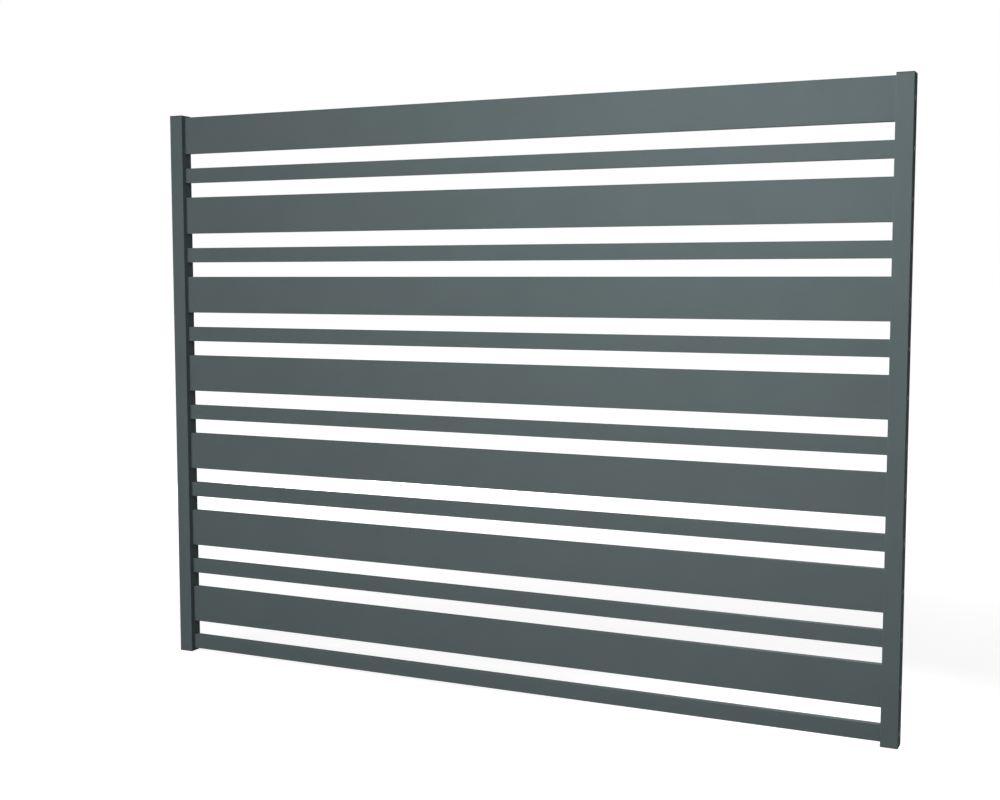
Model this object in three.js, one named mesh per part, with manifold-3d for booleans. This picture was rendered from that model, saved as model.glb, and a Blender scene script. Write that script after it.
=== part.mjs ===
// Garden privacy screen: two square uprights hold wide and narrow slats, one over the other.
// Millimetres. X runs along the slats, Y from the front to the back, Z up.
// The origin is on the ground, midway between the uprights and midway through their depth.

import * as THREE from 'three';
import { mergeVertices } from 'three/addons/utils/BufferGeometryUtils.js';
import Module from 'manifold-3d';

// Driving dimensions: the panel.
const panelWidth = 2007; // over the outer faces of the two uprights
const pairCount = 7; // a wide slat over a narrow slat, from the top to the bottom
const wideHeight = 100;
const narrowHeight = 40;
const slatDepth = 16; // front to back
const slatGap = 40; // open height between two slats
const topOverhang = 5; // the uprights stand this far above the top slat
const footOverhang = 8; // and this far below the bottom slat

// Driving dimensions: the upright, a square tube.
const uprightSize = 40;
const uprightWall = 2.5;
const uprightCorner = 1.6; // radius of its outer edges
const slotClearance = 0.4; // between a slat and the slot that it goes through

// Driving dimensions: the slat, a hollow profile with a screw port on its middle rib.
const slatWall = 1.5;
const slatCorner = 1.2; // radius of its outer edges
const ribWall = 1.4;
const ribSpacing = 25; // between the ribs of a wide slat
const portWall = 1.5; // round the screw port
const portClearance = 0.1; // between the port and the screw's thread

// Driving dimensions: the countersunk screw at each slat end.
const screwLength = 25;
const screwDiameter = 4.2;
const screwHead = 8.4; // diameter
const screwRim = 0.2; // straight edge of the head
const screwPoint = 3.5; // length of the tapered end
const screwSink = 0.1; // the head lies this far below the upright's face
const seatClearance = 0.03; // between the head and its countersink
const holeClearance = 0.3; // between the shank and the hole through the wall
const driveSize = 3.9; // the star recess in the head, over its points
const driveDepth = 1.6;

// Driving dimensions: the cap that closes each end of an upright.
const capPlate = 2; // thickness of the plate that covers the tube's end
const capEdge = 0.6; // chamfer round the plate's outer face
const capDepth = 14; // how far the legs reach into the tube
const capClearance = 0.5; // between the legs and the tube
const capWall = 1.8;
const capStep = 2.2; // from the plate to the mouth that straddles the slat
const capMouthClearance = 1; // between a leg and the slat beside it
const finCount = 3; // thin fins that grip the tube
const finHeight = 0.8;
const finPitch = 3.4;
const finClearance = 0.05; // between a fin and the tube

// Roundness: straight steps in a quarter turn, and in the full turn of a screw or its hole.
const cornerSteps = 3;
const screwSteps = 12;
const overcut = 1; // how far a cutting tool runs past the face that it cuts

// Sizes that follow from those above.
const slatCount = 2 * pairCount;
const slatField = pairCount * (wideHeight + narrowHeight) + (slatCount - 1) * slatGap;
const panelHeight = footOverhang + slatField + topOverhang;
const slatLength = panelWidth - 2 * uprightWall; // a slat butts against both outer walls
const tubeLength = panelHeight - 2 * capPlate;
const tubeBore = uprightSize - 2 * uprightWall;
const portRadius = screwDiameter / 2 + portClearance;

const coat = { color: 0x56605f, roughness: 0.62, metalness: 0.0 };
const capPlastic = { color: 0x2b2f30, roughness: 0.7, metalness: 0.0 };
const screwSteel = { color: 0x8d9192, roughness: 0.38, metalness: 0.9 };

const wasm = await Module();
wasm.setup();

// Points on an arc, both ends included.
function arc(radius, from, to, steps, centreX = 0, centreY = 0) {
  const points = [];
  for (let step = 0; step <= steps; step += 1) {
    const angle = from + ((to - from) * step) / steps;
    points.push(
      new THREE.Vector2(centreX + radius * Math.cos(angle), centreY + radius * Math.sin(angle)),
    );
  }
  return points;
}

function circle(radius, steps) {
  return arc(radius, 0, 2 * Math.PI, steps).slice(0, -1);
}

function rectangle(width, height) {
  return [
    new THREE.Vector2(-width / 2, -height / 2),
    new THREE.Vector2(width / 2, -height / 2),
    new THREE.Vector2(width / 2, height / 2),
    new THREE.Vector2(-width / 2, height / 2),
  ];
}

function roundedRectangle(width, height, radius) {
  const right = width / 2 - radius;
  const up = height / 2 - radius;
  const quarter = Math.PI / 2;
  return [
    ...arc(radius, 2 * quarter, 3 * quarter, cornerSteps, -right, -up),
    ...arc(radius, 3 * quarter, 4 * quarter, cornerSteps, right, -up),
    ...arc(radius, 0, quarter, cornerSteps, right, up),
    ...arc(radius, quarter, 2 * quarter, cornerSteps, -right, up),
  ];
}

// A straight profile along Z from 0 to the length, open where the holes are.
function extrude(outline, holes, length) {
  const shape = new THREE.Shape(outline);
  shape.holes = holes.map((hole) => new THREE.Path(hole));
  return new THREE.ExtrudeGeometry(shape, { depth: length, bevelEnabled: false });
}

// Turns a profile drawn as depth by height and run along Z so that it runs along X instead.
function layAlongX(geometry) {
  const turn = new THREE.Matrix4().makeBasis(
    new THREE.Vector3(0, 1, 0),
    new THREE.Vector3(0, 0, 1),
    new THREE.Vector3(1, 0, 0),
  );
  return geometry.applyMatrix4(turn);
}

// A turned body on the Y axis, with its axis laid along X.
function turnAboutX(profile) {
  const turn = new THREE.Matrix4().makeBasis(
    new THREE.Vector3(0, 1, 0),
    new THREE.Vector3(1, 0, 0),
    new THREE.Vector3(0, 0, -1),
  );
  return new THREE.LatheGeometry(profile, screwSteps).applyMatrix4(turn);
}

// Half a turn about one axis, which keeps every coordinate exact.
function halfTurn(geometry, axis) {
  const signs = { x: [1, -1, -1], z: [-1, -1, 1] }[axis];
  return geometry.applyMatrix4(new THREE.Matrix4().makeScale(...signs));
}

function toSolid(geometry) {
  const bare = geometry.clone();
  bare.deleteAttribute('normal');
  bare.deleteAttribute('uv');
  const merged = mergeVertices(bare, 1e-4);
  const mesh = new wasm.Mesh({
    numProp: 3,
    vertProperties: new Float32Array(merged.getAttribute('position').array),
    triVerts: new Uint32Array(merged.index.array),
  });
  return new wasm.Manifold(mesh);
}

function toGeometry(solid) {
  const mesh = solid.getMesh();
  const geometry = new THREE.BufferGeometry();
  geometry.setAttribute('position', new THREE.BufferAttribute(mesh.vertProperties, 3));
  geometry.setIndex(new THREE.BufferAttribute(mesh.triVerts, 1));
  geometry.computeVertexNormals();
  return geometry;
}

function moved(geometry, x, y, z) {
  return geometry.clone().translate(x, y, z);
}

// Where each slat lies, from the top of the panel down.
function layOutSlats() {
  const rows = [];
  let top = panelHeight - topOverhang;
  for (let pair = 1; pair <= pairCount; pair += 1) {
    for (const [kind, height] of [['wide', wideHeight], ['narrow', narrowHeight]]) {
      rows.push({ name: `${kind}_slat_${pair}`, height, middle: top - height / 2 });
      top -= height + slatGap;
    }
  }
  return rows;
}

// Heights of a slat's ribs, the middle one at 0.
function ribHeights(height) {
  const ribs = [0];
  const reach = height / 2 - slatWall - ribWall;
  for (let rib = ribSpacing; rib < reach; rib += ribSpacing) {
    ribs.unshift(-rib);
    ribs.push(rib);
  }
  return ribs;
}

// One chamber of a slat's section, between two walls. An edge that lies on the middle rib runs
// round the screw port's wall.
function chamber(low, high) {
  const side = slatDepth / 2 - slatWall;
  const wall = portRadius + portWall;
  const start = Math.asin(ribWall / 2 / wall);
  const overPort = arc(wall, Math.PI - start, start, screwSteps / 2);
  const underPort = arc(wall, -start, start - Math.PI, screwSteps / 2);
  return [
    new THREE.Vector2(-side, low),
    ...(low === ribWall / 2 ? overPort : []),
    new THREE.Vector2(side, low),
    new THREE.Vector2(side, high),
    ...(high === -ribWall / 2 ? underPort : []),
    new THREE.Vector2(-side, high),
  ];
}

function slat(height) {
  const inner = height / 2 - slatWall;
  const ribs = ribHeights(height);
  const lows = [-inner, ...ribs.map((rib) => rib + ribWall / 2)];
  const highs = [...ribs.map((rib) => rib - ribWall / 2), inner];
  const holes = lows.map((low, index) => chamber(low, highs[index]));
  holes.push(circle(portRadius, screwSteps));
  const outline = roundedRectangle(slatDepth, height, slatCorner);
  return layAlongX(extrude(outline, holes, slatLength)).translate(-slatLength / 2, 0, 0);
}

// The cut that a slat passes through in the upright's inner wall, drawn about the slat's middle.
function slotCutter(height) {
  const outline = roundedRectangle(
    slatDepth + 2 * slotClearance,
    height + 2 * slotClearance,
    slatCorner + slotClearance,
  );
  const length = uprightWall + 2 * overcut;
  return layAlongX(extrude(outline, [], length)).translate(-uprightSize / 2 - overcut, 0, 0);
}

// The screw with its axis along X and its head's face at 0, the point towards -X.
function screw() {
  const cone = (screwHead - screwDiameter) / 2;
  const tip = screwDiameter / 8;
  const profile = [
    [0, -screwLength],
    [tip, -screwLength],
    [screwDiameter / 2, screwPoint - screwLength],
    [screwDiameter / 2, -screwRim - cone],
    [screwHead / 2, -screwRim],
    [screwHead / 2, 0],
    [0, 0],
  ];
  const body = turnAboutX(profile.map(([radius, along]) => new THREE.Vector2(radius, along)));
  return toGeometry(toSolid(body).subtract(toSolid(starRecess())));
}

// The six-pointed drive recess, from its floor to just past the head's face.
function starRecess() {
  const points = 6;
  const outline = circle(driveSize / 2, 2 * points);
  outline.forEach((point, index) => {
    if (index % 2 === 1) point.multiplyScalar(0.74);
  });
  return layAlongX(extrude(outline, [], driveDepth + overcut)).translate(-driveDepth, 0, 0);
}

// The countersunk hole for that screw, seen from the upright's outer face at 0.
function screwHoleCutter() {
  const sunk = screwSink + screwRim;
  const mouth = screwHead / 2 + seatClearance;
  const hole = screwDiameter / 2 + holeClearance;
  const profile = [
    [0, -uprightWall - overcut],
    [hole, -uprightWall - overcut],
    [hole, hole - mouth - sunk],
    [mouth, -sunk],
    [mouth, overcut],
    [0, overcut],
  ];
  return turnAboutX(profile.map(([radius, along]) => new THREE.Vector2(radius, along)));
}

// The right-hand upright about its own axis, with its slots towards -X. It stands on its lower cap.
function upright(rows) {
  const section = roundedRectangle(uprightSize, uprightSize, uprightCorner);
  const tube = extrude(section, [rectangle(tubeBore, tubeBore)], tubeLength);
  let solid = toSolid(tube.translate(0, 0, capPlate));
  for (const { height, middle } of rows) {
    const slot = moved(slotCutter(height), 0, 0, middle);
    const hole = moved(screwHoleCutter(), uprightSize / 2, 0, middle);
    solid = solid.subtract(toSolid(slot)).subtract(toSolid(hole));
  }
  return toGeometry(solid);
}

// A chamfered plate: its outer face at 0, the face on the tube's end at the plate's thickness.
function capPlateSolid() {
  const face = { size: uprightSize - 2 * capEdge, corner: uprightCorner, at: 0 };
  const full = { size: uprightSize, corner: uprightCorner };
  return toSolid(loft([face, { ...full, at: capEdge }, { ...full, at: capPlate }]));
}

// Skins rounded squares one above the other into a closed body.
function loft(sections) {
  const rings = sections.map(({ size, corner }) => roundedRectangle(size, size, corner));
  const count = rings[0].length;
  const positions = rings.flatMap((ring, level) =>
    ring.flatMap((point) => [point.x, point.y, sections[level].at]),
  );
  const triangles = [];
  for (let level = 0; level + 1 < rings.length; level += 1) {
    for (let index = 0; index < count; index += 1) {
      const a = level * count + index;
      const b = level * count + ((index + 1) % count);
      triangles.push(a, b, b + count, a, b + count, a + count);
    }
  }
  const last = (rings.length - 1) * count;
  for (const [a, b, c] of THREE.ShapeUtils.triangulateShape(rings[0], [])) {
    triangles.push(c, b, a, last + a, last + b, last + c);
  }
  const geometry = new THREE.BufferGeometry();
  geometry.setAttribute('position', new THREE.Float32BufferAttribute(positions, 3));
  geometry.setIndex(triangles);
  return geometry;
}

// A square band inside the tube, from one height to another.
function band(clearance, low, high) {
  const size = tubeBore - 2 * clearance;
  const inside = tubeBore - 2 * capClearance - 2 * capWall;
  const ring = extrude(rectangle(size, size), [rectangle(inside, inside)], high - low);
  return toSolid(ring.translate(0, 0, low));
}

// The lower cap. Its two legs straddle the slat next to it, with fins that grip the tube.
function cap() {
  const legEnd = capPlate + capDepth;
  let solid = capPlateSolid().add(band(capClearance, capPlate, legEnd));
  for (let fin = 1; fin <= finCount; fin += 1) {
    const top = legEnd - fin * finPitch + finHeight;
    solid = solid.add(band(finClearance, top - finHeight, top));
  }
  const mouthWidth = slatDepth + 2 * capMouthClearance;
  const mouth = new THREE.BoxGeometry(uprightSize, mouthWidth, capDepth + overcut);
  mouth.translate(0, 0, capPlate + capStep + (capDepth + overcut) / 2);
  return toGeometry(solid.subtract(toSolid(mouth)));
}

const panel = new THREE.Group();

function addPiece(name, geometry, finish, x = 0, z = 0) {
  const mesh = new THREE.Mesh(geometry, new THREE.MeshStandardMaterial(finish));
  mesh.name = name;
  mesh.position.set(x, 0, z);
  panel.add(mesh);
}

const rows = layOutSlats();
for (const { name, height, middle } of rows) {
  addPiece(name, slat(height), coat, 0, middle);
}

const uprightX = (panelWidth - uprightSize) / 2;
addPiece('right_upright', upright(rows), coat, uprightX);
addPiece('left_upright', halfTurn(upright(rows), 'z'), coat, -uprightX);

for (const [side, x] of [['left', -uprightX], ['right', uprightX]]) {
  addPiece(`${side}_foot_cap`, cap(), capPlastic, x);
  addPiece(`${side}_top_cap`, halfTurn(cap(), 'x'), capPlastic, x, panelHeight);
}

const screwX = panelWidth / 2 - screwSink;
rows.forEach(({ middle }, index) => {
  const number = String(index + 1).padStart(2, '0');
  addPiece(`right_screw_${number}`, screw(), screwSteel, screwX, middle);
  addPiece(`left_screw_${number}`, halfTurn(screw(), 'z'), screwSteel, -screwX, middle);
});

export default panel;
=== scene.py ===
# %% [markdown]
# # A slatted garden privacy screen
#
# The real thing is a rigid fence panel: two square aluminium tubes stand left and right, and
# wide and narrow hollow slats run between them. Tubes and slats are coated in one anthracite
# powder paint. There is no cloth, no cord and nothing that moves, so all the work goes into
# crisp edges, a believable paint and a light that shows both.
#
# The construction already exists at its real size in the frame. This notebook rebuilds every
# piece with finer edges exactly where the frame has it, and gives it its finish.

import math

import bmesh
import bpy
from mathutils import Matrix, Vector


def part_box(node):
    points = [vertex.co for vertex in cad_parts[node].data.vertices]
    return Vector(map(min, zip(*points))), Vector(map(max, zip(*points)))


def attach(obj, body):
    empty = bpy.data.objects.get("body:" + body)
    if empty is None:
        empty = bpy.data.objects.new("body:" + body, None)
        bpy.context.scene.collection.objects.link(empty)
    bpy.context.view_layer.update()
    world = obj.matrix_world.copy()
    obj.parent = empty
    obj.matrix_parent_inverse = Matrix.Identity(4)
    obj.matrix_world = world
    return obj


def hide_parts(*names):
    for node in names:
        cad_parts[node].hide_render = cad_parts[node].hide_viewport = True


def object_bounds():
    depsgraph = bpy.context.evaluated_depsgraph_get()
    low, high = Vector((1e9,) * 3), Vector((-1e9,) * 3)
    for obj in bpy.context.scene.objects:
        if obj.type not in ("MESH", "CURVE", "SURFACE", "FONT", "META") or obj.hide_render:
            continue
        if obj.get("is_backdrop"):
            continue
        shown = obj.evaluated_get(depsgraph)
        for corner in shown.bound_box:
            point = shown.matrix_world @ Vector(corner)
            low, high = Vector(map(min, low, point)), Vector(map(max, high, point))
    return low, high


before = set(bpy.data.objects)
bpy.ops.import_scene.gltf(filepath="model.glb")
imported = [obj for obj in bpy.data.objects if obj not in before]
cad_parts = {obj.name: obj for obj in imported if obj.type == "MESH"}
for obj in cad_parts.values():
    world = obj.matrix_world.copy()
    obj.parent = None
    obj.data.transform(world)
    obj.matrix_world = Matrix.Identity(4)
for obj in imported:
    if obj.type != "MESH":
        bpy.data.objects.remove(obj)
cad_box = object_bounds()
cad_size = cad_box[1] - cad_box[0]
print("frame:", len(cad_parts), "pieces, size", [round(side, 4) for side in cad_size])

# %% [markdown]
# ## Sizes
#
# Lengths are in metres, so a millimetre gets a name. Whatever the frame can tell is measured on
# it: the size of a slat, the place of each upright. Only what a frame of simple solids leaves
# out, such as the radius of a fine edge, is written here as a number.

# %% Measure the frame
MM = 0.001


def size_of(node):
    """Width, depth and height of a piece of the frame."""
    low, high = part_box(node)
    return high - low


def middle_of(node):
    """The middle of a piece of the frame."""
    low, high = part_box(node)
    return (low + high) / 2


slat_nodes = sorted(
    (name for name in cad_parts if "_slat_" in name),
    key=lambda name: -middle_of(name).z,
)
slat_length = size_of("wide_slat_1").x
slat_depth = size_of("wide_slat_1").y
tube_side = size_of("left_upright").x
tube_height = size_of("left_upright").z
print("slats:", len(slat_nodes), "length", round(slat_length, 4), "depth", round(slat_depth, 4))
print("uprights:", round(tube_side, 4), "square,", round(tube_height, 4), "high")

# %% [markdown]
# ## Helpers for straight and turned metal
#
# An extruded profile is a flat section pulled along a line. The same three steps make it here:
# a square from the grid operator, its corners rounded by a vertex bevel, and the face extruded.
# A lathe part, such as a screw, is a profile spun about an axis instead.
#
# Hollows are cut with Boolean modifiers. They could be drawn into the section by hand, but a cut
# keeps each hollow a bar of its own with its own size, as it is on a die drawing.

# %% Straight bars and turned bodies
SPIN_MERGE = 0.001 * MM  # points this near to each other become one where a spin closes


def raise_face(bm, length):
    """Pulls the flat section of a bmesh up to a closed bar."""
    grown = bmesh.ops.extrude_face_region(bm, geom=bm.faces[:])
    top = [item for item in grown["geom"] if isinstance(item, bmesh.types.BMVert)]
    bmesh.ops.translate(bm, vec=(0, 0, length), verts=top)
    bmesh.ops.recalc_face_normals(bm, faces=bm.faces[:])


def bar(width, depth, length, corner=0.0, steps=5):
    """A bar along +Z from 0, centred on the axis, with rounded long edges."""
    bm = bmesh.new()
    bmesh.ops.create_grid(bm, x_segments=1, y_segments=1, size=0.5)
    bmesh.ops.scale(bm, vec=(width, depth, 1), verts=bm.verts[:])
    if corner:
        bmesh.ops.bevel(
            bm, geom=bm.verts[:], offset=corner, offset_type="OFFSET",
            affect="VERTICES", segments=steps, profile=0.5, material=-1,
        )
    raise_face(bm, length)
    return bm


def rod(radius, length, steps=24):
    """A round bar along +Z from 0."""
    bm = bmesh.new()
    bmesh.ops.create_circle(bm, cap_ends=True, segments=steps, radius=radius)
    raise_face(bm, length)
    return bm


def turned(profile, steps=32):
    """A closed body spun about Z from (radius, height) points that start and end on the axis."""
    bm = bmesh.new()
    points = [bm.verts.new((radius, 0, height)) for radius, height in profile]
    for start, end in zip(points, points[1:]):
        bm.edges.new((start, end))
    bmesh.ops.spin(
        bm, geom=bm.verts[:] + bm.edges[:], cent=(0, 0, 0), axis=(0, 0, 1), dvec=(0, 0, 0),
        angle=2 * math.pi, steps=steps, use_merge=True, use_duplicate=False,
    )
    bmesh.ops.remove_doubles(bm, verts=bm.verts[:], dist=SPIN_MERGE)
    bmesh.ops.recalc_face_normals(bm, faces=bm.faces[:])
    return bm


# %% Joining and cutting
CUT_MERGE = 0.002 * MM  # points this near to each other become one after a cut


def together(*parts):
    """One bmesh that holds several, each part moved by its own offset."""
    whole = bmesh.new()
    for bm, offset in parts:
        bmesh.ops.translate(bm, vec=offset, verts=bm.verts[:])
        mesh = bpy.data.meshes.new("part")
        bm.to_mesh(mesh)
        whole.from_mesh(mesh)
        bpy.data.meshes.remove(mesh)
        bm.free()
    return whole


def shown(bm, name):
    """A bmesh as an object in the scene."""
    mesh = bpy.data.meshes.new(name)
    bm.to_mesh(mesh)
    bm.free()
    thing = bpy.data.objects.new(name, mesh)
    bpy.context.scene.collection.objects.link(thing)
    return thing


def carve(base, tool, operation="DIFFERENCE"):
    """The base bmesh after one exact Boolean with the tool bmesh."""
    body = shown(base, "body")
    cutter = shown(tool, "cutter")
    cut = body.modifiers.new("cut", "BOOLEAN")
    cut.operation = operation
    cut.solver = "EXACT"
    cut.object = cutter
    bpy.context.view_layer.update()
    result = bmesh.new()
    result.from_object(body, bpy.context.evaluated_depsgraph_get())
    for thing in (body, cutter):
        mesh = thing.data
        bpy.data.objects.remove(thing)
        bpy.data.meshes.remove(mesh)
    bmesh.ops.remove_doubles(result, verts=result.verts[:], dist=CUT_MERGE)
    return result


def is_closed(bm):
    """True where every edge joins exactly two faces, as on a solid."""
    return all(len(edge.link_faces) == 2 for edge in bm.edges)


# %% [markdown]
# ## The look of powder paint
#
# Fine-texture powder paint is sprayed on dry and melts into a hard skin with the feel of very
# fine sandpaper. Three things make it readable: a grain finer than a millimetre that catches the
# light, clouds of slightly lighter and darker paint the size of a hand, and edges where the
# melting skin has drawn back and shines a little more.
#
# The grain and the clouds are also on the moulded caps and the screws, at other sizes. So they
# are one node group, built once, and each material sets its own scale. It only puts out values
# that change over the surface; the shader itself stays in the material.

# %% The grain group
NOISE_MIDDLE = 0.5  # a noise texture swings about this value


def new_group(name, inputs, outputs):
    """An empty shader group with named value sockets."""
    group = bpy.data.node_groups.new(name, "ShaderNodeTree")
    for socket, kind, default in inputs:
        made = group.interface.new_socket(name=socket, in_out="INPUT", socket_type=kind)
        if default is not None:
            made.default_value = default
    for socket, kind in outputs:
        group.interface.new_socket(name=socket, in_out="OUTPUT", socket_type=kind)
    return group


def node_in(tree, kind, **settings):
    """Adds a node. Keywords set its attributes, and the dict sockets sets its input values."""
    node = tree.nodes.new(kind)
    for key, value in settings.pop("sockets", {}).items():
        node.inputs[key].default_value = value
    for key, value in settings.items():
        setattr(node, key, value)
    return node


def grain_group():
    """Tone goes up and down around 1, height around 0.5."""
    group = new_group(
        "paint_grain",
        [
            ("Place", "NodeSocketVector", None),
            ("Grain Scale", "NodeSocketFloat", 1600.0),
            ("Cloud Scale", "NodeSocketFloat", 9.0),
            ("Grain Tone", "NodeSocketFloat", 0.05),
            ("Cloud Tone", "NodeSocketFloat", 0.03),
        ],
        [("Tone", "NodeSocketFloat"), ("Height", "NodeSocketFloat")],
    )
    link = group.links.new
    inward = node_in(group, "NodeGroupInput")
    outward = node_in(group, "NodeGroupOutput")
    grain = node_in(group, "ShaderNodeTexNoise", sockets={"Detail": 3.0, "Roughness": 0.6})
    cloud = node_in(group, "ShaderNodeTexNoise", sockets={"Detail": 4.0, "Roughness": 0.55})
    link(inward.outputs["Place"], grain.inputs["Vector"])
    link(inward.outputs["Grain Scale"], grain.inputs["Scale"])
    link(inward.outputs["Place"], cloud.inputs["Vector"])
    link(inward.outputs["Cloud Scale"], cloud.inputs["Scale"])
    total = None
    for source, amount in ((grain, "Grain Tone"), (cloud, "Cloud Tone")):
        swing = node_in(group, "ShaderNodeMath", operation="SUBTRACT")
        swing.inputs[1].default_value = NOISE_MIDDLE
        link(source.outputs["Fac"], swing.inputs[0])
        share = node_in(group, "ShaderNodeMath", operation="MULTIPLY_ADD")
        share.inputs[2].default_value = 1.0
        link(swing.outputs[0], share.inputs[0])
        link(inward.outputs[amount], share.inputs[1])
        if total:
            link(total.outputs[0], share.inputs[2])
        total = share
    link(total.outputs[0], outward.inputs["Tone"])
    link(grain.outputs["Fac"], outward.inputs["Height"])
    return group


paint_grain = grain_group()
print("group:", paint_grain.name, [socket.name for socket in paint_grain.interface.items_tree])

# %% [markdown]
# ## Three finishes from one recipe
#
# The paint, the plastic of the caps and the dark plating of the screws differ in colour, shine
# and grain, not in how they are put together. One function wires the nodes: the grain changes
# the colour a little, the shine a little, and stands proud by a few hundredths of a millimetre.
# The attribute "edge" is 1 on a rounded edge and 0 on the flats. It makes the edge smoother,
# because there the paint runs thin and hands and brushes polish it, and lighter: partly that
# wear, partly a painted highlight along every rounded edge.

# %% Materials
SHINE_SWING = 0.06  # the grain makes the surface rougher and smoother by up to this much


def finish(
    name, colour, roughness, metallic, specular, grain, cloud, relief, edge_wear_and_highlight, edge_shine,
):
    """A procedural material. Grain and cloud are (scale, tone); relief is in metres."""
    material = bpy.data.materials.new(name)
    material.use_nodes = True
    tree = material.node_tree
    link = tree.links.new
    shader = tree.nodes["Principled BSDF"]
    shader.inputs["Metallic"].default_value = metallic
    shader.inputs["Specular IOR Level"].default_value = specular
    place = node_in(tree, "ShaderNodeTexCoord")
    texture = node_in(tree, "ShaderNodeGroup", node_tree=paint_grain)
    for layer, (scale, tone) in (("Grain", grain), ("Cloud", cloud)):
        texture.inputs[layer + " Scale"].default_value = scale
        texture.inputs[layer + " Tone"].default_value = tone
    link(place.outputs["Object"], texture.inputs["Place"])

    edge = node_in(tree, "ShaderNodeAttribute", attribute_name="edge")
    # Rounded edges get a lighter colour here: partly paint wear, partly a painted highlight.
    lifted = node_in(tree, "ShaderNodeMath", operation="MULTIPLY_ADD")
    lifted.inputs[1].default_value = edge_wear_and_highlight
    link(edge.outputs["Fac"], lifted.inputs[0])
    link(texture.outputs["Tone"], lifted.inputs[2])
    tinted = node_in(tree, "ShaderNodeVectorMath", operation="SCALE")
    tinted.inputs[0].default_value = colour
    link(lifted.outputs[0], tinted.inputs["Scale"])
    link(tinted.outputs["Vector"], shader.inputs["Base Color"])

    polished = node_in(tree, "ShaderNodeMath", operation="MULTIPLY_ADD")
    polished.inputs[1].default_value = -edge_shine
    polished.inputs[2].default_value = 1.0
    link(edge.outputs["Fac"], polished.inputs[0])
    uneven = node_in(tree, "ShaderNodeMapRange")
    uneven.inputs["To Min"].default_value = roughness - SHINE_SWING
    uneven.inputs["To Max"].default_value = roughness + SHINE_SWING
    link(texture.outputs["Height"], uneven.inputs["Value"])
    shine = node_in(tree, "ShaderNodeMath", operation="MULTIPLY")
    link(uneven.outputs["Result"], shine.inputs[0])
    link(polished.outputs[0], shine.inputs[1])
    link(shine.outputs[0], shader.inputs["Roughness"])

    bump = node_in(tree, "ShaderNodeBump", sockets={"Strength": 1.0, "Distance": relief})
    link(texture.outputs["Height"], bump.inputs["Height"])
    link(bump.outputs["Normal"], shader.inputs["Normal"])
    return material


powder_paint = finish(
    "anthracite_powder_paint", colour=(0.0945, 0.1193, 0.1224),
    roughness=0.93, metallic=0.0, specular=0.1,
    grain=(1300.0, 0.5), cloud=(7.0, 0.15), relief=0.3 * MM,
    edge_wear_and_highlight=0.10, edge_shine=0.15,
)
cap_plastic = finish(
    "moulded_cap_plastic", colour=(0.035, 0.041, 0.043),
    roughness=0.62, metallic=0.0, specular=0.2,
    grain=(2600.0, 0.3), cloud=(40.0, 0.1), relief=0.06 * MM,
    edge_wear_and_highlight=0.18, edge_shine=0.2,
)
screw_plating = finish(
    "dark_screw_plating", colour=(0.06, 0.066, 0.068),
    roughness=0.4, metallic=1.0, specular=0.5,
    grain=(900.0, 0.4), cloud=(300.0, 0.3), relief=0.008 * MM,
    edge_wear_and_highlight=0.4, edge_shine=0.3,
)
print("materials:", [made.name for made in (powder_paint, cap_plastic, screw_plating)])

# %% [markdown]
# ## Getting a piece ready
#
# A finished piece has its place in its mesh and its object at the origin. So one master shape
# is copied and moved for each slat, screw or cap, and the paint's clouds fall differently on
# every copy, because they follow the place and not the piece.
#
# Smooth shading would bend the light across the wide flats, since their few corners are shared
# with the rounded edges. A Weighted Normal modifier gives each flat its own straight normal
# back and lets only the narrow strips turn.

# %% Master shapes and copies
SHARP_ANGLE = math.radians(38)  # faces that meet at more than this keep a hard crease
SQUARE_ON = 0.999  # a normal with a part this large points straight along an axis


def mark_edges(bm, along):
    """Writes the attribute edge: 1 inside a rounded strip, 0 where it meets a flat."""
    layer = bm.verts.layers.float.new("edge")
    for vert in bm.verts:
        sides = [face.normal for face in vert.link_faces if abs(face.normal[along]) < SQUARE_ON]
        flat = any(max(abs(part) for part in normal) > SQUARE_ON for normal in sides)
        vert[layer] = 0.0 if flat or not sides else 1.0


def master(bm, along):
    """A bmesh with smooth faces, sharp creases marked, and the edge attribute."""
    bmesh.ops.recalc_face_normals(bm, faces=bm.faces[:])
    bm.normal_update()
    for face in bm.faces:
        face.smooth = True
    for edge in bm.edges:
        edge.smooth = edge.calc_face_angle(0.0) < SHARP_ANGLE
    mark_edges(bm, along)
    return bm


def piece(bm, node, matrix, material):
    """A copy of the master bmesh, moved to where the frame has the node, which it replaces."""
    copy = bm.copy()
    bmesh.ops.transform(copy, matrix=matrix, verts=copy.verts[:])
    thing = shown(copy, "finished_" + node)
    thing.data.materials.append(material)
    even = thing.modifiers.new("even_normals", "WEIGHTED_NORMAL")
    even.keep_sharp = True
    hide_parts(node)
    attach(thing, "root")


# %% [markdown]
# ## The slats
#
# Each slat is a hollow aluminium extrusion. The wide one has three ribs inside and the narrow
# one has one. The middle rib carries a round port that the end screw cuts into. None of this
# shows once the panel is together, but a slat that is lifted out should still be a real slat.
#
# The chambers are bars with small fillets. The port's wall is kept by taking a rod out of the
# chambers first, and then the chambers out of the slat.

# %% Slat masters
slat_wall = 1.5 * MM
slat_corner = 1.2 * MM
rib_wall = 1.4 * MM
rib_spacing = 25 * MM
chamber_fillet = 0.6 * MM
fillet_steps = 2
port_radius = 2.2 * MM
port_wall = 1.5 * MM
overcut = 1 * MM  # how far a cutting tool runs past the face that it cuts
lay_along_x = Matrix(((0, 0, 1), (1, 0, 0), (0, 1, 0))).to_4x4()


def rib_heights(height):
    """Where the ribs of a slat lie, the middle one at 0."""
    reach = height / 2 - slat_wall - rib_wall
    count = int(reach // rib_spacing)
    return [index * rib_spacing for index in range(-count, count + 1)]


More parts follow.
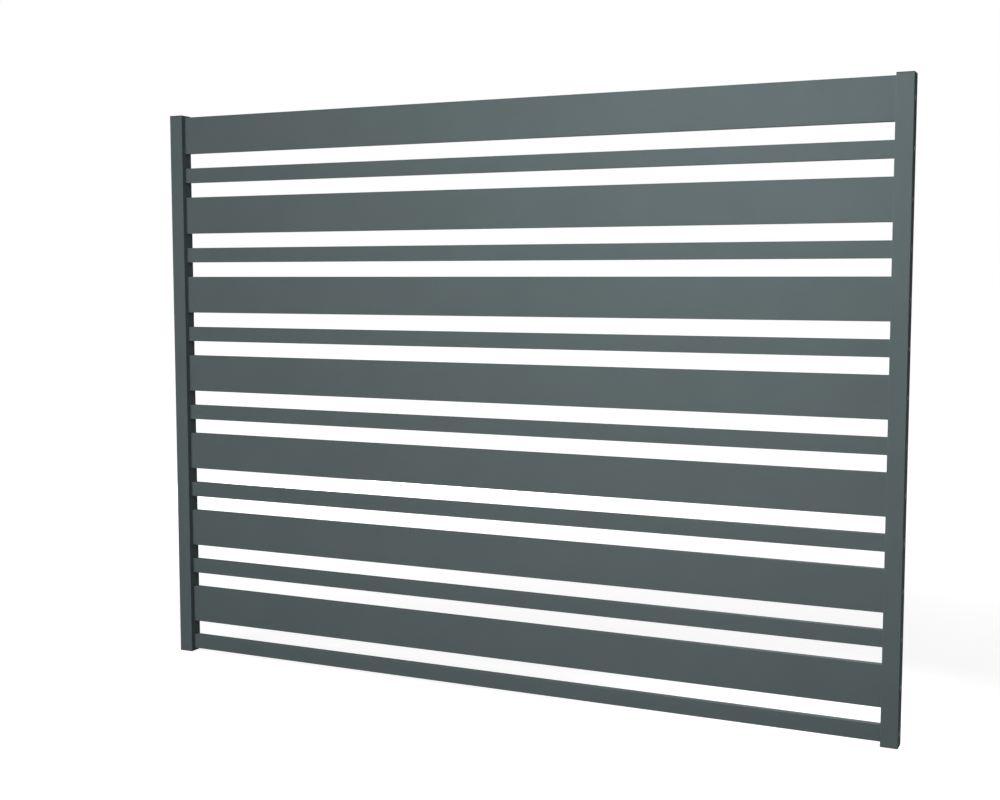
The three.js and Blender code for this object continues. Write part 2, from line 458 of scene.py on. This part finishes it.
def chambers(height):
    """The hollows between the ribs, as bars that run past both ends of the slat."""
    ribs = rib_heights(height)
    lows = [-height / 2 + slat_wall] + [rib + rib_wall / 2 for rib in ribs]
    highs = [rib - rib_wall / 2 for rib in ribs] + [height / 2 - slat_wall]
    depth = slat_depth - 2 * slat_wall
    length = slat_length + 2 * overcut
    bars = []
    for low, high in zip(lows, highs):
        hollow = bar(depth, high - low, length, chamber_fillet, fillet_steps)
        bars.append((hollow, (0, (low + high) / 2, -overcut)))
    return together(*bars)


def slat_master(height):
    """A slat about the origin, lying along X, with its front towards -Y."""
    port = rod(port_radius + port_wall, slat_length + 4 * overcut)
    hollows = carve(chambers(height), together((port, (0, 0, -2 * overcut))))
    body = carve(bar(slat_depth, height, slat_length, slat_corner), hollows)
    bore = rod(port_radius, slat_length + 2 * overcut)
    body = carve(body, together((bore, (0, 0, -overcut))))
    bmesh.ops.translate(body, vec=(0, 0, -slat_length / 2), verts=body.verts[:])
    bmesh.ops.transform(body, matrix=lay_along_x, verts=body.verts[:])
    return master(body, along=0)


slat_masters = {}
for kind in ("wide", "narrow"):
    slat_masters[kind] = slat_master(size_of(kind + "_slat_1").z)
    made = slat_masters[kind]
    print(kind, "slat:", len(made.faces), "faces, closed:", is_closed(made))

# %% Place the slats
for node in slat_nodes:
    kind = node.split("_")[0]
    place = Matrix.Translation(middle_of(node))
    piece(slat_masters[kind], node, place, powder_paint)
print("slats placed:", len(slat_nodes))

# %% [markdown]
# ## The uprights
#
# An upright is a square tube. Its inner wall is punched with a slot for each slat and its outer
# wall is drilled and countersunk for each screw. Punching rolls the rim of a slot over a
# little, so those rims get a bevel of 0.3 mm.
#
# The slots could be left out, because the slats hide them. But the narrow dark gap round each
# slat is what tells the eye that the slat goes in and doesn't just butt against the tube.

# %% Upright master
tube_wall = 2.5 * MM
tube_corner = 1.6 * MM
tube_corner_steps = 6
tube_fillet = 0.5 * MM
bore_side = tube_side - 2 * tube_wall
slot_clearance = 0.4 * MM
slot_rim = 0.3 * MM
slot_rim_steps = 2
screw_head = 8.4 * MM
screw_shank = 4.2 * MM
screw_rim = 0.2 * MM
screw_sink = 0.1 * MM
hole_clearance = 0.3 * MM
touch = 0.01 * MM  # a point this near to a face lies on it


def slot_tool(height):
    """The punch for one slot, about the slat's middle, through the wall on the -X side."""
    punch = bar(
        slat_depth + 2 * slot_clearance, height + 2 * slot_clearance,
        tube_wall + 2 * overcut, slat_corner + slot_clearance,
    )
    bmesh.ops.transform(punch, matrix=lay_along_x, verts=punch.verts[:])
    bmesh.ops.translate(punch, vec=(-tube_side / 2 - overcut, 0, 0), verts=punch.verts[:])
    return punch


def hole_tool():
    """The countersink and its hole, through the wall on the +X side."""
    hole = screw_shank / 2 + hole_clearance
    sunk = screw_rim + screw_sink
    tool = turned([
        (0, -tube_wall - overcut),
        (hole, -tube_wall - overcut),
        (hole, hole - screw_head / 2 - sunk),
        (screw_head / 2, -sunk),
        (screw_head / 2, overcut),
        (0, overcut),
    ])
    bmesh.ops.transform(tool, matrix=lay_along_x, verts=tool.verts[:])
    bmesh.ops.translate(tool, vec=(tube_side / 2, 0, 0), verts=tool.verts[:])
    return tool


def upright_master():
    """The right-hand upright about its own axis, at its real height over the ground."""
    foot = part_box("right_upright")[0].z
    body = bar(tube_side, tube_side, tube_height, tube_corner, tube_corner_steps)
    bore = bar(bore_side, bore_side, tube_height + 2 * overcut, tube_fillet, fillet_steps)
    tube = carve(together((body, (0, 0, foot))), together((bore, (0, 0, foot - overcut))))
    tools = []
    for node in slat_nodes:
        height = middle_of(node).z
        tools.append((slot_tool(size_of(node).z), (0, 0, height)))
        tools.append((hole_tool(), (0, 0, height)))
    tube = carve(tube, together(*tools))
    face = -tube_side / 2
    rims = [
        edge for edge in tube.edges
        if all(abs(vert.co.x - face) < touch for vert in edge.verts)
        and all(abs(vert.co.y) < tube_side / 2 - 2 * tube_corner for vert in edge.verts)
        and edge.calc_face_angle(0.0) > SHARP_ANGLE
    ]
    bmesh.ops.bevel(
        tube, geom=rims, offset=slot_rim, offset_type="OFFSET",
        affect="EDGES", segments=slot_rim_steps, profile=0.5, material=-1,
    )
    return master(tube, along=2)


upright_shape = upright_master()
print("upright:", len(upright_shape.faces), "faces, closed:", is_closed(upright_shape))

# %% Place the uprights
half_turn = Matrix.Rotation(math.pi, 4, "Z")
for node, turn in (("right_upright", Matrix.Identity(4)), ("left_upright", half_turn)):
    place = Matrix.Translation((middle_of(node).x, 0, 0)) @ turn
    piece(upright_shape, node, place, powder_paint)
    print("placed:", node)

# %% [markdown]
# ## The end caps
#
# A plastic cap closes each end of a tube against rain and insects. From outside it is a flat
# square plate with a softened rim. Inside, two legs with thin fins grip the tube and leave a
# mouth between them for the slat that lies just behind the cap.

# %% Cap master
cap_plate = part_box("left_upright")[0].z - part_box("left_foot_cap")[0].z
cap_height = size_of("left_foot_cap").z
cap_rim = 0.6 * MM
cap_rim_steps = 4
leg_clearance = 0.5 * MM
leg_wall = 1.8 * MM
leg_root = 0.5 * MM  # the legs reach this far into the plate, so that the two join
mouth_clearance = 1 * MM
mouth_step = 2.2 * MM
fin_clearance = 0.05 * MM
fin_height = 0.8 * MM
fin_pitch = 3.4 * MM
fin_count = 3
leg_side = bore_side - 2 * leg_clearance


def cap_master():
    """The lower cap about its axis, its outer face at height 0."""
    plate = bar(tube_side, tube_side, cap_plate, tube_corner, tube_corner_steps)
    rim = [edge for edge in plate.edges if all(vert.co.z < touch for vert in edge.verts)]
    bmesh.ops.bevel(
        plate, geom=rim, offset=cap_rim, offset_type="OFFSET",
        affect="EDGES", segments=cap_rim_steps, profile=0.5, material=-1,
    )
    root = cap_plate - leg_root
    block = bar(leg_side, leg_side, cap_height - root, tube_fillet, fillet_steps)
    legs = together((block, (0, 0, root)))
    fin_side = bore_side - 2 * fin_clearance
    for fin in range(1, fin_count + 1):
        ring = bar(fin_side, fin_side, fin_height, tube_fillet, fillet_steps)
        low = cap_height - fin * fin_pitch
        legs = carve(legs, together((ring, (0, 0, low))), "UNION")
    inside = leg_side - 2 * leg_wall
    hollow = bar(inside, inside, cap_height, tube_fillet, fillet_steps)
    mouth = bar(tube_side, slat_depth + 2 * mouth_clearance, cap_height)
    legs = carve(legs, together((hollow, (0, 0, cap_plate))))
    legs = carve(legs, together((mouth, (0, 0, cap_plate + mouth_step))))
    return master(carve(plate, legs, "UNION"), along=2)


cap_shape = cap_master()
print("cap:", len(cap_shape.faces), "faces, closed:", is_closed(cap_shape))

# %% Place the caps
turned_over = Matrix.Rotation(math.pi, 4, "X")
for side in ("left", "right"):
    foot = side + "_foot_cap"
    top = side + "_top_cap"
    place = Matrix.Translation((middle_of(foot).x, 0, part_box(foot)[0].z))
    piece(cap_shape, foot, place, cap_plastic)
    place = Matrix.Translation((middle_of(top).x, 0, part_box(top)[1].z)) @ turned_over
    piece(cap_shape, top, place, cap_plastic)
    print("placed:", foot, "and", top)

# %% [markdown]
# ## The screws
#
# One countersunk tapping screw holds each slat end. Only its head shows, on the outer face of
# the upright, and it has a six-lobed recess. The head and shank are spun from a profile. The
# thread is a small ridge spun with a lift per step, which turns a circle into a helix.

# %% Screw master
screw_length = size_of("left_screw_01").x
core_radius = 1.55 * MM
tip_radius = core_radius / 5
head_edge = 0.05 * MM  # the head's sharp edge is broken this far down its side
head_ease = 0.1 * MM  # and this far in on its face
thread_half = 0.42 * MM  # half the thread's width at its foot
thread_root = 0.1 * MM  # the thread's foot lies this deep in the core
thread_pitch = 1.4 * MM
thread_turns = 13
thread_steps = 14
tip_length = 3.5 * MM
recess_radius = 1.95 * MM
recess_depth = 1.6 * MM
recess_wave = 0.14
recess_lobes = 6
recess_steps = 48


def thread_ridge():
    """A closed helical ridge from the tip upwards. The screw points down, its head's face at 0."""
    bm = bmesh.new()
    low = tip_length - screw_length
    section = [
        bm.verts.new((core_radius - thread_root, 0, low - thread_half)),
        bm.verts.new((screw_shank / 2, 0, low)),
        bm.verts.new((core_radius - thread_root, 0, low + thread_half)),
    ]
    face = bm.faces.new(section)
    lift = thread_pitch / thread_steps
    bmesh.ops.spin(
        bm, geom=section + face.edges[:] + [face], cent=(0, 0, 0), axis=(0, 0, 1),
        dvec=(0, 0, lift), angle=2 * math.pi * thread_turns,
        steps=thread_steps * thread_turns, use_merge=False, use_duplicate=False,
    )
    bmesh.ops.recalc_face_normals(bm, faces=bm.faces[:])
    return bm


def recess_tool():
    """The six-lobed driver shape, drawn from a circle whose radius rises and falls."""
    bm = bmesh.new()
    bmesh.ops.create_circle(bm, cap_ends=True, segments=recess_steps, radius=recess_radius)
    for vert in bm.verts:
        angle = math.atan2(vert.co.y, vert.co.x)
        vert.co *= 1 - recess_wave * (1 - math.cos(recess_lobes * angle)) / 2
    raise_face(bm, recess_depth + overcut)
    bmesh.ops.translate(bm, vec=(0, 0, -recess_depth), verts=bm.verts[:])
    return bm


def screw_master():
    """The screw about Z, its head's face at 0 and its tip pointing down."""
    neck = screw_rim + screw_head / 2 - core_radius
    body = turned([
        (0, -screw_length),
        (tip_radius, -screw_length),
        (core_radius, tip_length - screw_length),
        (core_radius, -neck),
        (screw_head / 2, -screw_rim),
        (screw_head / 2, -head_edge),
        (screw_head / 2 - head_ease, 0),
        (0, 0),
    ])
    body = carve(body, recess_tool())
    body = carve(body, thread_ridge(), "UNION")
    return master(body, along=2)


screw_shape = screw_master()
print("screw:", len(screw_shape.faces), "faces, closed:", is_closed(screw_shape))

# %% Place the screws
screw_nodes = sorted(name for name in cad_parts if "_screw_" in name)
for node in screw_nodes:
    low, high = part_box(node)
    outwards = 1 if middle_of(node).x > 0 else -1
    head = Vector((high.x if outwards > 0 else low.x, 0, middle_of(node).z))
    aim = Matrix.Rotation(outwards * math.pi / 2, 4, "Y")
    piece(screw_shape, node, Matrix.Translation(head) @ aim, screw_plating)
print("screws placed:", len(screw_nodes))

# %% [markdown]
# ## Floor and backdrop
#
# The panel stands on a white floor in front of a white backdrop. The whiteness must not come
# from strong lamps, which would wash out the paint. Light Path tells the floor and the world
# which ray is asking. Rays that look, those of the camera, of a shiny surface or through glass,
# see white. The soft light that bounces on to the panel stays low.
#
# The floor glows a little short of white, and pale paint under the lamps makes up the rest. So
# where the panel keeps the lamps off it, a faint shadow stays. The glow grows to full white
# further out, where the lamps no longer reach.

# %% Who sees white
WHITE = (1, 1, 1, 1)


def looking_rays(tree):
    """1 for a camera, glossy or transmission ray, 0 for a diffuse one."""
    ray = node_in(tree, "ShaderNodeLightPath")
    total = ray.outputs["Is Camera Ray"]
    for kind in ("Is Glossy Ray", "Is Transmission Ray"):
        larger = node_in(tree, "ShaderNodeMath", operation="MAXIMUM")
        tree.links.new(total, larger.inputs[0])
        tree.links.new(ray.outputs[kind], larger.inputs[1])
        total = larger.outputs[0]
    return total


# %% Floor
floor_size = 60.0
floor_bounce = 0.12  # how pale the paint is for light that it sends up to the panel
floor_paint = 0.45  # and how pale it is for the rays that look
near_glow = 0.82
far_glow = 1.0
glow_from = 1.2  # the glow starts to grow at this distance from the middle
glow_to = 3.0  # and has grown to the full here


def floor_material():
    """Glow for the rays that look, and plain paint that takes the shadow."""
    material = bpy.data.materials.new("studio_floor")
    material.use_nodes = True
    tree = material.node_tree
    tree.nodes.clear()
    link = tree.links.new
    looks = looking_rays(tree)
    tones = {"To Min": floor_bounce, "To Max": floor_paint}
    tone = node_in(tree, "ShaderNodeMapRange", sockets=tones)
    link(looks, tone.inputs["Value"])
    paint = node_in(tree, "ShaderNodeBsdfDiffuse")
    link(tone.outputs["Result"], paint.inputs["Color"])

    place = node_in(tree, "ShaderNodeTexCoord")
    distance = node_in(tree, "ShaderNodeVectorMath", operation="LENGTH")
    link(place.outputs["Object"], distance.inputs[0])
    glow_by_distance = {
        "From Min": glow_from,
        "From Max": glow_to,
        "To Min": near_glow,
        "To Max": far_glow,
    }
    level = node_in(
        tree, "ShaderNodeMapRange", interpolation_type="SMOOTHSTEP", sockets=glow_by_distance,
    )
    link(distance.outputs["Value"], level.inputs["Value"])
    seen = node_in(tree, "ShaderNodeMath", operation="MULTIPLY")
    link(level.outputs["Result"], seen.inputs[0])
    link(looks, seen.inputs[1])
    glow = node_in(tree, "ShaderNodeEmission", sockets={"Color": WHITE})
    link(seen.outputs[0], glow.inputs["Strength"])
    both = node_in(tree, "ShaderNodeAddShader")
    link(paint.outputs[0], both.inputs[0])
    link(glow.outputs[0], both.inputs[1])
    out = node_in(tree, "ShaderNodeOutputMaterial")
    link(both.outputs[0], out.inputs["Surface"])
    return material


ground = bmesh.new()
bmesh.ops.create_grid(ground, x_segments=1, y_segments=1, size=floor_size / 2)
floor = shown(ground, "floor")
floor.data.materials.append(floor_material())
floor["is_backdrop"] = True
print("floor:", floor_size, "m square, glow", near_glow, "to", far_glow)

# %% World
world_light = 0.15
world_white = 1.0
world = bpy.data.worlds.new("studio_world")
bpy.context.scene.world = world
world.use_nodes = True
sky = world.node_tree
sky.nodes.clear()
levels = {"To Min": world_light, "To Max": world_white}
strength = node_in(sky, "ShaderNodeMapRange", sockets=levels)
sky.links.new(looking_rays(sky), strength.inputs["Value"])
backdrop = node_in(sky, "ShaderNodeBackground", sockets={"Color": WHITE})
sky.links.new(strength.outputs["Result"], backdrop.inputs["Strength"])
out = node_in(sky, "ShaderNodeOutputWorld")
sky.links.new(backdrop.outputs[0], out.inputs["Surface"])
print("world:", world_light, "on the panel,", world_white, "for the rays that look")

# %% [markdown]
# ## Lamps
#
# Plain soft studio light. On the photographed panel the fronts are lightest at the upper right,
# and the inner face of the left upright is only half as light as the fronts. So the light comes
# from the left and the front, and small lamps close by lift the right side.
#
# A soft box is an area lamp: the larger it is, the softer its shadows. Two stand far off, one
# high and one low, both to the left. A low one behind lights the back and stays off the tops of
# the slats. A small spread is a honeycomb, which keeps a lamp's light within a cone. The two at
# the upper right have it so that they don't shine along the panel on to the left upright. The
# one close behind reaches only the tops of the lower slats at the right and draws the thin light
# line that they have there.

# %% Soft boxes
def soft_box(name, place, target, size, power, spread=180):
    """An area lamp turned towards its target. Size is width and height, power is in watts."""
    lamp = bpy.data.lights.new(name, "AREA")
    lamp.shape = "RECTANGLE"
    lamp.size, lamp.size_y = size
    lamp.energy = power
    lamp.spread = math.radians(spread)
    thing = bpy.data.objects.new(name, lamp)
    bpy.context.scene.collection.objects.link(thing)
    thing.location = place
    thing.rotation_euler = (Vector(target) - Vector(place)).to_track_quat("-Z", "Y").to_euler()
    print(name, power, "W")


panel_middle = (cad_box[0] + cad_box[1]) / 2
soft_box("high_left_soft_box", (-2.0, -3.4, 2.9), panel_middle, (2.4, 1.2), 24)
soft_box("low_left_soft_box", (-2.0, -3.4, 1.0), panel_middle, (1.4, 1.1), 63)
soft_box("upper_right_soft_box", (0.4, -1.7, 2.2), (0.6, 0, 1.2), (0.8, 0.8), 12, spread=120)
soft_box("corner_soft_box", (0.9, -1.2, 1.75), (0.95, 0, 1.4), (0.5, 0.5), 0.45, spread=70)
soft_box("lower_right_soft_box", (0.9, -1.9, 0.5), (0.9, 0, 0.7), (0.8, 0.6), 9)
soft_box("back_soft_box", (-1.8, 3.4, 0.3), panel_middle, (2.4, 0.5), 90)
soft_box("back_right_soft_box", (0.95, 0.9, 1.0), (0.8, 0, 0.1), (0.4, 0.4), 2, spread=60)

# %% [markdown]
# ## Camera
#
# A 50 mm lens on a 36 mm sensor stands in front of the panel and to its right, at about the
# height of a chest, turned left and slightly down. Lines fitted to the slat edges gave its place.

# %% Camera
camera_place = (1.4813, -3.1808, 1.0646)
camera_turn_left = math.radians(24.975)
camera_tilt_down = math.radians(5.02)
lens = bpy.data.cameras.new("camera")
lens.lens = 50
lens.sensor_width = 36
lens.clip_start = 0.05
lens.clip_end = 200
camera = bpy.data.objects.new("camera", lens)
bpy.context.scene.collection.objects.link(camera)
camera.location = camera_place
camera.rotation_euler = (math.pi / 2 - camera_tilt_down, 0, camera_turn_left)
bpy.context.scene.camera = camera
bpy.context.scene.view_settings.view_transform = "Standard"
print("camera at", camera_place, "with a", lens.lens, "mm lens")

# %% [markdown]
# ## The sizes at the end
#
# New edges must not make the panel larger or smaller. So the box round the finished pieces is set
# beside the box of the frame, which was kept before anything was added. Both are written down.

# %% Compare the sizes and finish
for shape in (*slat_masters.values(), upright_shape, cap_shape, screw_shape):
    shape.free()
visual_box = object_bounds()
visual_size = visual_box[1] - visual_box[0]
print("box of the frame:", [round(side, 4) for side in cad_size])
print("box of the finished panel:", [round(side, 4) for side in visual_size])
